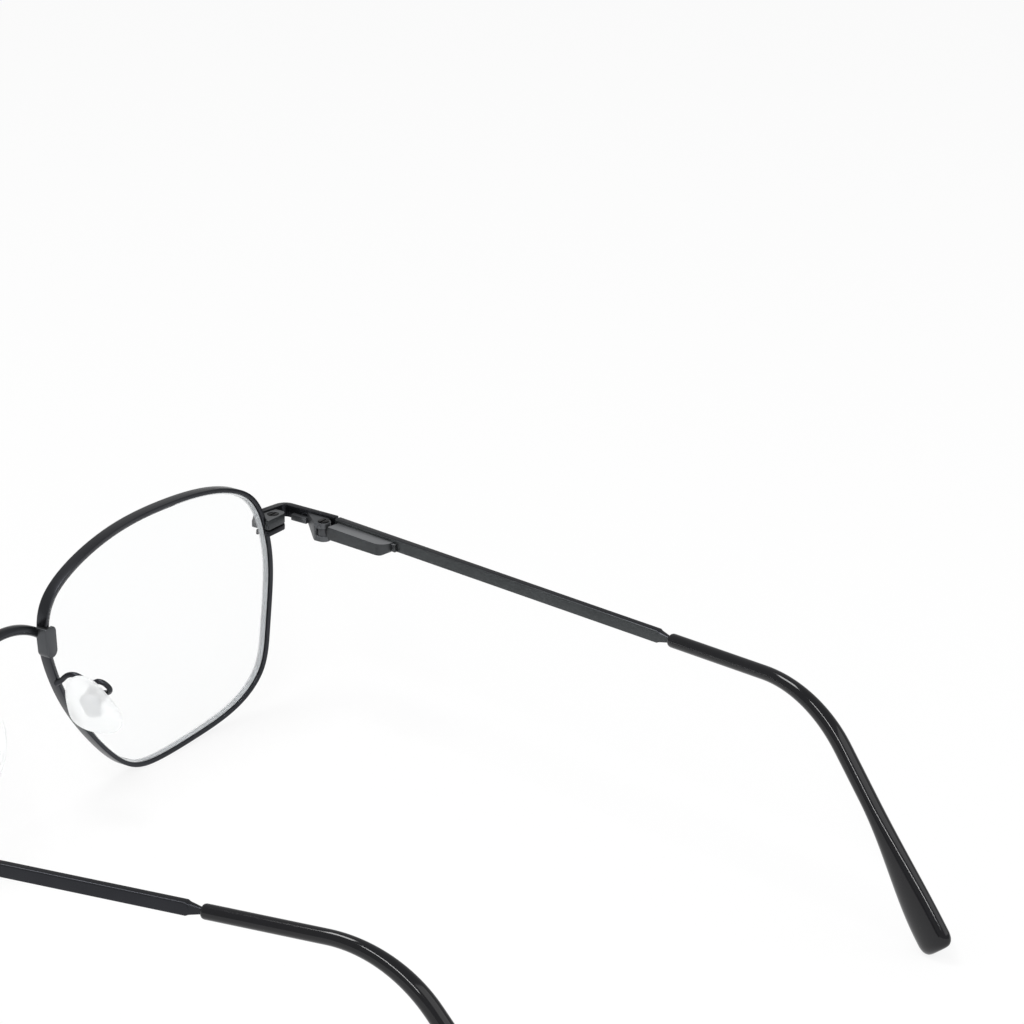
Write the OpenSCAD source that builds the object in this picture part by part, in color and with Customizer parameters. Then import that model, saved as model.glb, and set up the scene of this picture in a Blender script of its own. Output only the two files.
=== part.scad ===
// A pair of full-rim metal glasses, standing open on a table.
// +X is the wearer's left, -Y is the front, +Z is up, and the table is z = 0.
// Every paired piece is drawn once, for the wearer's left, and mirrored for the right.

/* [Rims and lenses] */
// Width of one rim over its outer edges
rim_w = 52.2; // [46:0.1:58]
// Height of one rim over its outer edges
rim_h = 41.3; // [34:0.1:48]
// Gap between the two rims across the nose
bridge_gap = 16.6; // [14:0.1:20]
// Depth of the rim wire from front to back
rim_depth = 2.1; // [1.8:0.05:3]
// Thickness of the rim wire across its face
rim_t = 0.7; // [0.6:0.05:1.1]
// Radius of the curve that the lenses and rims follow
front_curve_r = 130; // [100:5:260]
// Angle by which each rim wraps back towards its temple
wrap = 2; // [0:0.5:5]
// Forward lean of the rims, as the frame stands on the table
lean = 1.4; // [0:0.2:4]
// Thickness of the lenses
lens_t = 1.7; // [1.2:0.1:2]
// Width of the groove inside the rim
groove_w = 0.9; // [0.6:0.05:1.2]
// Depth of the groove inside the rim
groove_depth = 0.35; // [0.2:0.05:0.45]

/* [Bridge] */
// Height of the bridge bar's middle line above the table, at the nose
bridge_z = 32.15; // [30:0.1:34]
// Radius of the bridge's arch
bridge_arch_r = 15.5; // [13:0.5:24]
// Height of the bridge bar
bridge_h = 1.5; // [1.2:0.1:2]
// Depth of the bridge bar from front to back
bridge_depth = 1.9; // [1.5:0.1:2.4]
// Width of the bridge's feet on the rims
bridge_foot_w = 2.3; // [1.8:0.1:2.8]
// Height of the bridge's feet on the rims
bridge_foot_h = 5; // [4:0.1:6]

/* [Hinge] */
// Distance of the hinge axis outside the rim's temple edge
hinge_out = 3.03; // [2.6:0.01:3.5]
// Distance of the hinge axis behind the rim's temple edge
hinge_behind = 8.69; // [8.45:0.01:9]
// Height of the hinge's middle above the table
hinge_z = 30.75; // [29.5:0.05:31.5]
// Height of the hinge over both of its ears
hinge_h = 3.1; // [2.8:0.1:3.6]
// Radius of the rounded ears
ear_r = 1.15; // [1:0.05:1.2]
// Height of the eye that turns between the ears
eye_h = 1.1; // [0.9:0.1:1.3]
// Radius of the hinge screw's shank
hinge_screw_r = 0.5; // [0.4:0.05:0.6]
// Furthest that the temple flexes outwards
flex_angle = 10; // [6:1:12]

/* [End piece] */
// Thickness of the end piece
end_t = 1.1; // [0.9:0.1:1.3]
// Height of the end piece
end_h = 2; // [1.8:0.1:2.2]
// Outer radius of the end piece's bend
end_bend_r = 2.1; // [1.6:0.1:2.6]
// Distance of the bend's centre in front of the hinge axis
end_bend_y = 8.2; // [8:0.1:8.4]
// Angle of the end piece's bend
end_bend_angle = 80; // [74:1:86]

/* [Closing block] */
// Distance of the closing block's outer end inside the hinge axis
block_out = 0.3; // [0.1:0.1:0.8]
// Distance of the closing block's back in front of the hinge axis
block_back = 7; // [6.6:0.1:7.4]
// Drop of the closing block's top below the end piece's top
block_drop = 0.25; // [0.1:0.05:0.5]
// Height of the closing block's upper half
block_upper_h = 1.7; // [1.4:0.1:2]
// Height of the closing block's lower half
block_lower_h = 0.9; // [0.7:0.1:1.2]
// Radius of the closing screw's shank
closing_screw_r = 0.5; // [0.4:0.05:0.6]

/* [Temple] */
// Thickness of the temple blade
blade_t = 1.3; // [1:0.1:1.6]
// Height of the temple blade
blade_h = 2; // [1.8:0.1:2.4]
// Distance from the hinge axis to the sleeve
sleeve_y = 72.4; // [66:0.1:78]
// Distance from the hinge axis to the start of the ear bend
bend_y = 90.7; // [84:0.1:94]
// Radius of the ear bend
bend_r = 18.9; // [18:0.1:26]
// Angle of the ear bend
bend_angle = 52.9; // [48:0.1:60]
// Angle by which each temple leans inwards, seen from above
converge = 9; // [4:0.1:10]
// Angle by which each temple rises to the rear
rise = 1.4; // [0:0.1:3]
// Radius of the wire core inside the sleeve
core_r = 0.5; // [0.4:0.05:0.55]
// Thickness of the sleeve where it starts
sleeve_d = 2.15; // [1.9:0.05:2.4]
// Thickness of the sleeve after the ear bend
sleeve_mid_d = 2.65; // [2.5:0.05:3]
// Height of the paddle at the end of the sleeve
paddle_h = 6.2; // [5:0.1:7]
// Thickness of the paddle
paddle_t = 3; // [2.6:0.1:3.4]
// Length of the paddle with the flare that leads into it
paddle_l = 24; // [16:1:28]
// Drop of the paddle's middle below the sleeve's middle line
paddle_drop = 0.95; // [0:0.05:1.2]

/* [Spring case] */
// Length of the spring case
case_l = 12.4; // [11.5:0.1:14]
// Depth of the spring case behind the blade
case_w = 2.33; // [2.2:0.01:2.6]
// Radius of the bore for the spring
case_bore_r = 0.6; // [0.55:0.01:0.65]
// Travel of the spring piston
spring_travel = 1.4; // [1:0.1:1.6]
// Radius of the spring's wire
spring_wire_r = 0.09; // [0.07:0.01:0.1]
// Number of curls in the spring
spring_curls = 9; // [7:1:10]

/* [Nose pads] */
// Length of a nose pad
pad_l = 13.1; // [11:0.1:15]
// Width of a nose pad
pad_w = 7.9; // [7:0.1:9]
// Thickness of a nose pad
pad_t = 2; // [1.6:0.1:2.4]
// Distance of each pad's middle from the rim's nose edge, sideways
pad_out = 3.2; // [2.4:0.1:4]
// Distance of the pads' middle behind the middle of the lenses
pad_back = 8.2; // [7.6:0.1:9]
// Height of the pads' middle above the table
pad_z = 18.2; // [17:0.1:19]
// Angle by which the pads spread towards their lower ends
pad_spread = 28.5; // [20:0.5:32]
// Angle by which the pads open towards the rear
pad_splay = 21; // [15:0.5:26]
// Radius of the pad arm's wire
arm_r = 0.42; // [0.35:0.01:0.5]
// Angle by which each pad rocks either way
pad_rock = 8; // [5:1:10]

/* [Fits] */
// Joint between two brazed or clamped pieces
seat_gap = 0.02; // [0.01:0.01:0.05]
// Clearance round a pin that turns
run_gap = 0.05; // [0.03:0.01:0.08]
// Gap between pieces that swing past each other
swing_gap = 0.2; // [0.15:0.01:0.25]

/* [Hidden] */

left = 1;
right = -1;
round_fn = 48;
metal = [0.13, 0.135, 0.15];
sleeve_black = [0.03, 0.03, 0.035];
clear = [0.85, 0.9, 0.92, 0.35];
silicone = [0.9, 0.92, 0.92, 0.6];
steel = [0.45, 0.46, 0.48];

// Outline of the rim as shares of its half width and half height, from the temple
// side down, along the bottom to the nose, and back over the top.
RIM_SHAPE = [
    [1.00, 0.10], [0.955, -0.33], [0.87, -0.66], [0.63, -0.875], [0.28, -0.97], [-0.08, -1.00],
    [-0.34, -0.91], [-0.58, -0.61], [-0.80, -0.22], [-0.955, 0.20], [-1.00, 0.52],
    [-0.91, 0.74], [-0.63, 0.895], [-0.25, 0.985], [0.15, 1.00], [0.53, 0.96],
    [0.83, 0.80], [0.965, 0.47]
];
// Outline of a nose pad as shares of its half width and half length, rear edge first.
PAD_SHAPE = [
    [0.90, 0.10], [0.98, -0.40], [0.66, -0.86], [0.02, -1.00], [-0.64, -0.84], [-0.98, -0.38],
    [-0.84, 0.20], [-0.60, 0.72], [0.00, 1.00], [0.62, 0.76]
];

lens_x = bridge_gap / 2 + rim_w / 2 * cos(wrap);
hinge_x = bridge_gap / 2 + rim_w * cos(wrap) + hinge_out;
rim_edge_y = rim_w / 2 * sin(wrap)
    + (front_curve_r - sqrt(pow(front_curve_r, 2) - pow(rim_w / 2, 2))) * cos(wrap);
hinge_back = rim_edge_y + hinge_behind;
pad_x = bridge_gap / 2 + pad_out;
sag = pow(rim_h / 2, 2) / (2 * front_curve_r);
lens_z = rim_h / 2 * cos(lean) - (sag - rim_depth / 2) * sin(lean);

blade_in = ear_r + swing_gap;
blade_x = blade_in + blade_t / 2;
blade_z = 0.85;
bar_in = blade_in + blade_t - end_t;
blade_y = 1.25;

paddle_cap = 1.85;
CAP_TURNS = [15:15:90];
function cap_height(a) = paddle_h * pow(max(cos(a), 0.02), 0.4);
slope = bend_angle - rise;
bend_end_y = bend_y + bend_r * sin(bend_angle);
bend_end_z = blade_z - bend_r * (1 - cos(bend_angle));
paddle_foot = max([for (a = CAP_TURNS)
    paddle_cap * sin(a) * sin(slope) + (cap_height(a) / 2 + paddle_drop) * cos(slope)]);
tail_l = (hinge_z + bend_end_y * sin(rise) + bend_end_z * cos(rise) - paddle_foot) / sin(slope);
bend_l = bend_r * bend_angle * PI / 180;
curve_l = bend_y + bend_l + tail_l + paddle_cap;

front_y = front_curve_r * (cos(lean) * cos(wrap) - 1) - lens_t / 2;
tail_y = (bend_end_y + tail_l * cos(bend_angle)) * cos(rise)
    - (bend_end_z - tail_l * sin(bend_angle)) * sin(rise);
paddle_back = max([for (a = CAP_TURNS)
    paddle_cap * sin(a) * cos(slope) + (cap_height(a) / 2 - paddle_drop) * sin(slope)]);
back_y = hinge_back + (tail_y + paddle_back) * cos(converge) + blade_x * sin(converge);
middle_y = (front_y + back_y) / 2;

// Round stretches: a closed curve that passes through the chosen points.
function around(list, i) = list[(i + len(list)) % len(list)];
function evened(c) = [for (i = [0:len(c) - 1]) (around(c, i - 1) + 4 * c[i] + around(c, i + 1)) / 6];
function pulled(c, p, times) = times == 0 ? c : pulled(c + p - evened(c), p, times - 1);
function curve_at(c, i, t) = (pow(1 - t, 3) * around(c, i - 1)
    + (3 * pow(t, 3) - 6 * pow(t, 2) + 4) * around(c, i)
    + (-3 * pow(t, 3) + 3 * pow(t, 2) + 3 * t + 1) * around(c, i + 1)
    + pow(t, 3) * around(c, i + 2)) / 6;
function heading_at(c, i, t) = -pow(1 - t, 2) * around(c, i - 1)
    + (3 * pow(t, 2) - 4 * t) * around(c, i)
    + (-3 * pow(t, 2) + 2 * t + 1) * around(c, i + 1)
    + pow(t, 2) * around(c, i + 2);
function grown(c, grow, steps) = [for (i = [0:len(c) - 1], k = [0:steps - 1])
    let (t = k / steps, h = heading_at(c, i, t))
    curve_at(c, i, t) + grow * [-h.y, h.x] / norm(h)];
function scaled(shape, w, h) = [for (p = shape) [p.x * w / 2, p.y * h / 2]];

rim_curve = pulled(scaled(RIM_SHAPE, rim_w, rim_h), scaled(RIM_SHAPE, rim_w, rim_h), 4);
pad_curve = pulled(scaled(PAD_SHAPE, pad_w, pad_l), scaled(PAD_SHAPE, pad_w, pad_l), 4);

// Tubes: rings of points along a path, closed at both ends.
function ring_faces(n, sides) = [for (r = [0:n - 2], s = [0:sides - 1], half = [0, 1])
    let (a = r * sides + s, b = r * sides + (s + 1) % sides)
    half == 0 ? [a, b, b + sides] : [a, b + sides, a + sides]];
function cap_faces(n, sides) = [
    [for (s = [0:sides - 1]) sides - 1 - s],
    [for (s = [0:sides - 1]) (n - 1) * sides + s]];
module tube_of(rings) {
    sides = len(rings[0]);
    polyhedron(
        points = [for (r = rings, p = r) p],
        faces = concat(ring_faces(len(rings), sides), cap_faces(len(rings), sides)),
        convexity = 6
    );
}

module sided(side) {
    translate([0, -middle_y, 0])
    if (side == left) children();
    else mirror([1, 0, 0]) children();
}

module at_lens() translate([lens_x, 0, lens_z]) rotate([lean, 0, wrap]) children();

module at_hinge() translate([hinge_x, hinge_back, hinge_z]) rotate([rise, 0, converge]) children();

module at_end() translate([hinge_x, hinge_back, hinge_z]) children();

module at_pad() translate([pad_x, pad_back, pad_z]) rotate([0, -pad_spread, 0]) rotate([0, 0, -pad_splay])
    children();

// A prism of the rim's outline, grown outwards or, with a minus sign, inwards.
module rim_prism(grow) {
    reach = 30;
    rotate([90, 0, 0]) linear_extrude(height = reach, center = true) polygon(grown(rim_curve, grow, 6));
}

module curved_layer(thickness) {
    translate([0, front_curve_r, 0])
    difference() {
        sphere(r = front_curve_r + thickness / 2, $fn = 300);
        sphere(r = front_curve_r - thickness / 2, $fn = 300);
    }
}

// The space that a rim fills, with its lens, so that what is brazed to it seats on it.
module rim_space(gap) {
    at_lens()
    intersection() {
        rim_prism(gap);
        curved_layer(rim_depth + 2 * gap);
    }
}

end_top = blade_z + end_h / 2;
block_top = end_top - block_drop;
split_z = block_top - block_upper_h;
split_gap = 0.2;
block_bottom = split_z - split_gap - block_lower_h;

module rim(side) {
    saw_past = 1.7;
    color(metal) sided(side)
    difference() {
        at_lens()
        difference() {
            intersection() {
                difference() {
                    rim_prism(0);
                    rim_prism(-rim_t);
                }
                curved_layer(rim_depth);
            }
            intersection() {
                rim_prism(groove_depth - rim_t);
                curved_layer(groove_w);
            }
        }
        at_end() translate([-block_reach - 1, -block_back - block_depth - saw_past, split_z - split_gap])
            cube([block_reach, block_depth + 2 * saw_past, split_gap]);
    }
}

module lens(side) {
    color(clear) sided(side) at_lens()
    union() {
        intersection() {
            rim_prism(-rim_t - seat_gap);
            curved_layer(lens_t);
        }
        intersection() {
            rim_prism(groove_depth - rim_t - seat_gap);
            curved_layer(groove_w - 2 * seat_gap);
        }
    }
}

module bridge() {
    foot_in = bridge_gap / 2 - 0.8;
    foot_top = bridge_z - bridge_arch_r + sqrt(pow(bridge_arch_r, 2) - pow(foot_in, 2)) + bridge_h / 2;
    bar_y = 0.9;
    foot_back = 3.4;
    half_angle = asin((bridge_gap / 2 + 0.6) / bridge_arch_r);
    color(metal) translate([0, -middle_y, 0])
    difference() {
        union() {
            translate([0, bar_y, bridge_z - bridge_arch_r])
            rotate([90, 0, 0]) rotate([0, 0, 90 - half_angle])
            rotate_extrude(angle = 2 * half_angle, $fn = 120)
            translate([bridge_arch_r, 0]) bar_section();
            for (side = [left, right])
                if (side == left) bridge_foot(foot_in, foot_top, foot_back);
                else mirror([1, 0, 0]) bridge_foot(foot_in, foot_top, foot_back);
        }
        rim_space(seat_gap);
        mirror([1, 0, 0]) rim_space(seat_gap);
    }
}

module bar_section() {
    side_r = bridge_h / 2;
    half_flat = (bridge_depth - bridge_h) / 2;
    union() {
        translate([-side_r, -half_flat]) square([bridge_h, 2 * half_flat]);
        for (y = [-half_flat, half_flat]) translate([0, y]) circle(r = side_r, $fn = round_fn);
    }
}

module bridge_foot(foot_in, foot_top, foot_back) {
    foot_front = 1.3;
    end_r = bridge_foot_w / 2;
    translate([foot_in, foot_back, foot_top - bridge_foot_h])
    rotate([90, 0, 0]) linear_extrude(height = foot_back - foot_front)
    union() {
        translate([end_r + 0.3, end_r]) circle(r = end_r, $fn = round_fn);
        polygon([
            [0.3, end_r], [0, bridge_foot_h - 0.8], [0, bridge_foot_h], [bridge_foot_w - 0.4, bridge_foot_h],
            [bridge_foot_w + 0.1, bridge_foot_h - 0.6], [bridge_foot_w + 0.3, end_r]
        ]);
    }
}

// A plate with four rounded upright corners.
module rounded_plate(w, d, h, r) {
    linear_extrude(height = h)
    union() {
        translate([r, 0]) square([w - 2 * r, d]);
        translate([0, r]) square([w, d - 2 * r]);
        for (x = [r, w - r], y = [r, d - r]) translate([x, y]) circle(r = r, $fn = round_fn);
    }
}

block_reach = 5;
block_depth = 3.4;
block_hole = [-block_out - 1.9, -block_back - 1.35];
closing_head_r = 0.85;
closing_head_h = 0.4;

end_front_l = 5.8;
root_w = 1.6;
root_d = 1.9;

// Sets its children on the end piece's front stretch, past the bend, at a given height.
module past_bend(z) {
    translate([bar_in + end_t - end_bend_r, -end_bend_y, z]) rotate([0, 0, -end_bend_angle]) children();
}

// Everything in front of the end piece's back, so that the block seats behind it.
module before_end_piece(gap) {
    far = 12;
    past_bend(0) translate([end_bend_r - end_t - gap, -far, -far / 2]) cube([far, far + end_bend_r, far]);
}

// The thick root that the end piece has where it is brazed to the rim.
module end_root(gap) {
    low = split_z + seat_gap - gap;
    past_bend(low) translate([end_bend_r - root_d - gap, -end_front_l - gap, 0])
        cube([root_d + 2 * gap, root_w + 2 * gap, end_top + gap - low]);
}

module closing_block(side, bottom, height, hole_r) {
    corner_r = 1;
    color(metal) sided(side)
    difference() {
        at_end()
        difference() {
            translate([-block_reach, -block_back - block_depth, bottom]) linear_extrude(height = height)
            union() {
                square([block_reach - block_out, block_depth - corner_r]);
                square([block_reach - block_out - corner_r, block_depth]);
                translate([block_reach - block_out - corner_r, block_depth - corner_r])
                    circle(r = corner_r, $fn = round_fn);
            }
            translate([block_hole.x, block_hole.y, bottom - 1])
                cylinder(r = hole_r, h = height + 2, $fn = round_fn);
            translate([block_hole.x, block_hole.y, block_top - closing_head_h])
                cylinder(r = closing_head_r + run_gap, h = 1, $fn = round_fn);
            before_end_piece(seat_gap);
            translate([0, 0, -split_gap / 2]) end_root(seat_gap);
        }
        rim_space(seat_gap);
    }
}

module closing_block_upper(side) closing_block(side, split_z, block_upper_h, closing_screw_r + run_gap);

module closing_block_lower(side) closing_block(side, block_bottom, block_lower_h, closing_screw_r + seat_gap);

module closing_screw(side) {
    color(steel) sided(side) at_end()
    translate([block_hole.x, block_hole.y, 0]) slotted_screw(
        closing_screw_r, block_bottom + 0.05, block_top - closing_head_h + seat_gap,
        closing_head_r, closing_head_h - 0.05);
}

// A screw whose shank runs from low up to high, with a slotted flat head on top.
module slotted_screw(shank_r, low, high, head_r, head_h) {
    slot_w = 0.25;
    slot_d = head_h / 2;
    difference() {
        union() {
            translate([0, 0, low]) cylinder(r = shank_r, h = high - low + head_h / 2, $fn = round_fn);
            translate([0, 0, high]) cylinder(r = head_r, h = head_h, $fn = round_fn);
        }
        translate([-head_r - 1, -slot_w / 2, high + head_h - slot_d])
            cube([2 * head_r + 2, slot_w, slot_d + 1]);
    }
}

module end_piece(side) {
    lap = 0.15;
    step = 0.02;
    bottom = end_top - end_h;
    color(metal) sided(side)
    difference() {
        at_end()
        union() {
            translate([bar_in + step, -end_bend_y - lap, bottom])
                cube([end_t - 2 * step, end_bend_y + lap + blade_y, end_h]);
            past_bend(bottom)
            union() {
                rotate_extrude(angle = end_bend_angle, $fn = 96)
                    translate([end_bend_r - end_t, 0]) square([end_t, end_h]);
                translate([end_bend_r - end_t, -end_front_l, 0]) cube([end_t, end_front_l, end_h]);
            }
            end_root(0);
        }
        at_hinge() rotate([0, 0, -flex_angle]) translate([0, blade_y - swing_gap, -end_h])
            cube([4 * end_t, 3, 3 * end_h]);
        rim_space(seat_gap);
    }
}

hinge_head_r = 0.85;
hinge_head_h = 0.35;
head_sink = 0.25;

// The fork is brazed inside the end piece: a leaf, a slanting web and two ears.
module hinge_fork(side) {
    leaf_l = 3;
    leaf_t = 0.8;
    leaf_h = 1;
    fork_y = -4.4;
    slot_h = eye_h + 2 * run_gap;
    bottom = end_top - end_h;
    color(metal) sided(side) at_end()
    difference() {
        union() {
            intersection() {
                translate([-ear_r, 0, 0]) rotate([90, 0, 90]) linear_extrude(height = bar_in + ear_r - seat_gap)
                polygon([
                    [fork_y, hinge_h / 2], [fork_y, bottom], [-1.6, -hinge_h / 2],
                    [0, -hinge_h / 2], [0, hinge_h / 2]
                ]);
                translate([0, 0, -hinge_h]) linear_extrude(height = 2 * hinge_h)
                polygon([[bar_in, fork_y], [-ear_r, -1], [-ear_r, 1], [bar_in, 1]]);
            }
            translate([0, 0, -hinge_h / 2]) cylinder(r = ear_r, h = hinge_h, $fn = round_fn);
            translate([bar_in - seat_gap - leaf_t, fork_y - leaf_l + 0.3, bottom])
                cube([leaf_t, leaf_l, leaf_h]);
        }
        translate([0, 0, -slot_h / 2]) linear_extrude(height = slot_h)
        union() {
            circle(r = ear_r + run_gap, $fn = round_fn);
            translate([-2 * ear_r, -0.6]) square([2 * ear_r, 3 * ear_r]);
            translate([-2 * ear_r, 0]) square([4 * ear_r, 3 * ear_r]);
        }
        translate([0, 0, -hinge_h]) cylinder(r = hinge_screw_r + seat_gap, h = hinge_h, $fn = round_fn);
        cylinder(r = hinge_screw_r + run_gap, h = hinge_h, $fn = round_fn);
        translate([0, 0, hinge_h / 2 - head_sink]) cylinder(r = hinge_head_r + run_gap, h = 1, $fn = round_fn);
    }
}

module hinge_screw(side) {
    color(steel) sided(side) at_end()
    slotted_screw(
        hinge_screw_r, -hinge_h / 2 + 0.1, hinge_h / 2 - head_sink + seat_gap, hinge_head_r, hinge_head_h);
}

case_y = 2;
rod = [0.1, 0.4];
rod_r = case_bore_r - 0.08;
thin_rod_r = 0.28;
neck_y = 1.5;
guide_y = case_y + spring_travel + 0.8;
retainer_y = guide_y + 0.3;
retainer_l = 0.8;
tail_head_y = case_y + case_l - 2.4;
tail_head_l = 0.5;

// Lays a round bar from low to high along the temple, on the line of the spring.
module along_rod(low, high, r) {
    translate([rod.x, low, rod.y]) rotate([-90, 0, 0]) cylinder(r = r, h = high - low, $fn = round_fn);
}

// The piston's eye turns on the hinge screw, and its rod slides in the spring case.
module spring_piston(side) {
    color(steel) sided(side)
    difference() {
        union() {
            at_end() translate([0, 0, -eye_h / 2]) cylinder(r = ear_r - 0.05, h = eye_h, $fn = round_fn);
            at_end() rotate([0, 0, converge]) translate([rod.x - 0.5, 0, -eye_h / 2])
                cube([1, neck_y + 0.2, eye_h]);
            at_hinge() along_rod(neck_y, guide_y, rod_r);
            at_hinge() along_rod(guide_y - 0.1, tail_head_y + 0.1, thin_rod_r);
            at_hinge() along_rod(tail_head_y, tail_head_y + tail_head_l, rod_r - 0.02);
        }
        at_end() translate([0, 0, -eye_h]) cylinder(r = hinge_screw_r + run_gap, h = 2 * eye_h, $fn = round_fn);
    }
}

case_top = blade_z + 0.5;
case_low_front = -0.75;
case_low_back = -0.55;

module spring_case(side) {
    blind_y = case_y + case_l - 0.9;
    nose_r = 0.9;
    color(metal) sided(side) at_hinge()
    difference() {
        translate([blade_in - seat_gap - case_w, 0, 0])
        rotate([90, 0, 90]) linear_extrude(height = case_w)
        union() {
            polygon([
                [case_y, case_top], [case_y, case_low_front], [case_y + case_l - nose_r, case_low_back],
                [case_y + case_l, case_low_back + nose_r], [case_y + case_l, case_top - 0.4],
                [case_y + case_l - 0.4, case_top]
            ]);
            translate([case_y + case_l - nose_r, case_low_back + nose_r]) circle(r = nose_r, $fn = round_fn);
        }
        along_rod(case_y - 1, blind_y, case_bore_r);
    }
}

module spring_retainer(side) {
    color(steel) sided(side) at_hinge()
    difference() {
        along_rod(retainer_y, retainer_y + retainer_l, case_bore_r - seat_gap);
        along_rod(retainer_y - 1, retainer_y + retainer_l + 1, thin_rod_r + 0.04);
    }
}

// One unbroken coil of wire round the thin rod, from the retainer to the rod's head.
module hinge_spring(side) {
    sides = 6;
    rings_a_curl = 8;
    coil_r = (thin_rod_r + rod_r) / 2 + 0.02;
    first_y = retainer_y + retainer_l + spring_wire_r + seat_gap;
    last_y = tail_head_y - spring_wire_r - seat_gap;
    pitch = (last_y - first_y) / spring_curls;
    total = spring_curls * rings_a_curl;
    centres = [for (k = [0:total]) let (turn = 360 * k / rings_a_curl)
        [rod.x + coil_r * cos(turn), first_y + pitch * k / rings_a_curl, rod.y + coil_r * sin(turn)]];
    rings = [for (k = [0:total]) let (
            turn = 360 * k / rings_a_curl,
            out = [cos(turn), 0, sin(turn)],
            ahead = [-sin(turn) * coil_r, pitch / 360 * 180 / PI, cos(turn) * coil_r],
            up = cross(out, ahead / norm(ahead)))
        [for (s = [0:sides - 1]) centres[k]
            + spring_wire_r * (cos(360 * s / sides) * out + sin(360 * s / sides) * up)]];
    apart = min([for (k = [0:total - rings_a_curl]) norm(centres[k] - centres[k + rings_a_curl])]);
    if (side == left) echo(spring_gap_to_itself = apart - 2 * spring_wire_r);
    color(steel) sided(side) at_hinge() tube_of(rings);
}

// Each length of the wire core is a hair thinner than the one before and starts inside it.
module temple_blade(side) {
    neck_l = 2.4;
    core_short = 4;
    core_end = tail_l - core_short;
    hair = 0.01;
    lap_angle = 1;
    lap = bend_r * lap_angle * PI / 180;
    color(metal) sided(side) at_hinge()
    translate([blade_x, 0, blade_z])
    union() {
        translate([-blade_t / 2, blade_y, -blade_h / 2])
            cube([blade_t, sleeve_y - neck_l - blade_y, blade_h]);
        intersection() {
            translate([0, sleeve_y - neck_l, 0]) rotate([-90, 0, 0])
                cylinder(r1 = blade_h / 2, r2 = core_r, h = neck_l - 0.2, $fn = round_fn);
            translate([-blade_t / 2, sleeve_y - neck_l, -blade_h]) cube([blade_t, neck_l, 2 * blade_h]);
        }
        translate([0, sleeve_y - neck_l, 0]) rotate([-90, 0, 0])
            cylinder(r = core_r, h = bend_y - sleeve_y + neck_l, $fn = round_fn);
        translate([0, bend_y, -bend_r]) rotate([lap_angle, 0, 0]) rotate([0, -90, 0])
        rotate_extrude(angle = bend_angle + lap_angle, $fn = 180)
            translate([bend_r, 0]) circle(r = core_r - hair, $fn = round_fn);
        translate([0, bend_end_y, bend_end_z - blade_z]) rotate([-90 - bend_angle, 0, 0])
            translate([0, 0, -lap]) cylinder(r = core_r - 2 * hair, h = core_end + lap, $fn = round_fn);
    }
}

// The temple's middle line beyond the blade, as [y, z, angle down], at a distance
// along it from the hinge axis.
function temple_line(s) =
    s < bend_y ? [s, blade_z, 0]
    : s < bend_y + bend_l ? let (a = (s - bend_y) / bend_r * 180 / PI)
        [bend_y + bend_r * sin(a), blade_z - bend_r * (1 - cos(a)), a]
    : let (d = s - bend_y - bend_l)
        [bend_end_y + d * cos(bend_angle), bend_end_z - d * sin(bend_angle), bend_angle];

function eased(t) = t <= 0 ? 0 : t >= 1 ? 1 : t * t * (3 - 2 * t);

// Height, thickness and drop of the sleeve at a distance along the temple.
paddle_from = curve_l - paddle_l;
paddle_full = curve_l - 3;
function sleeve_height(s) = sleeve_d
    + (sleeve_mid_d - sleeve_d) * eased((s - bend_y) / bend_l)
    + (paddle_h - sleeve_mid_d) * eased((s - paddle_from) / (paddle_full - paddle_from));
function sleeve_width(s) = sleeve_d
    + (sleeve_mid_d - sleeve_d) * eased((s - bend_y) / bend_l)
    + (paddle_t - sleeve_mid_d) * eased((s - paddle_from) / (paddle_full - paddle_from));

function sleeve_drop(s) = paddle_drop * eased((s - paddle_from) / (paddle_full - paddle_from));

function sleeve_ring(s, height, width, sides, drop = 0) = let (l = temple_line(s))
    [for (k = [0:sides - 1]) let (
        a = -360 * k / sides,
        across = width / 2 * cos(a),
        up = height / 2 * sin(a) - drop)
        [blade_x + across, l[0] + up * sin(l[2]), l[1] + up * cos(l[2])]];

module temple_tip(side) {
    sides = 16;
    bore_d = 2 * core_r + 0.2;
    nose = 0.5;
    straight = [for (k = [0:2]) sleeve_y + nose + (bend_y - sleeve_y - nose) * k / 2];
    bend = [for (k = [1:10]) bend_y + bend_l * k / 10];
    tail = [for (k = [1:9]) bend_y + bend_l + tail_l * k / 9];
    stations = concat(straight, bend, tail);
    last = curve_l - paddle_cap;
    outer = concat(
        [for (a = [0, 45])
            let (s = sleeve_y + nose * (1 - cos(a)), d = sleeve_d - 1.4 * nose * (1 - sin(a)))
            sleeve_ring(s, d, d, sides)],
        [for (s = stations) sleeve_ring(s, sleeve_height(s), sleeve_width(s), sides, sleeve_drop(s))],
        [for (a = CAP_TURNS)
            sleeve_ring(last + paddle_cap * sin(a), cap_height(a), paddle_t * pow(max(cos(a), 0.02), 0.7),
                sides, paddle_drop)]
    );
    bore_end = last - 3;
    bore = concat(
        [sleeve_ring(sleeve_y, bore_d, bore_d, sides)],
        [for (s = stations) if (s < bore_end - 1) sleeve_ring(s, bore_d, bore_d, sides)],
        [sleeve_ring(bore_end, bore_d, bore_d, sides)]
    );
    from_end = [for (i = [len(outer) - 1:-1:0]) outer[i]];
    color(sleeve_black) sided(side) at_hinge() tube_of(concat(from_end, bore));
}

insert_back = pad_t * 0.4;
insert_t = 0.5;
eye_x = insert_back + 1.1;
tab_t = 0.7;
pad_screw_r = 0.3;
box_half = 1.1;
box_x = insert_back + 0.35;
box_back = eye_x + 1.15;

module pad_prism(grow, low, high) {
    translate([low, 0, 0]) rotate([90, 0, 90]) linear_extrude(height = high - low)
        polygon(grown(pad_curve, grow, 5));
}

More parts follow.
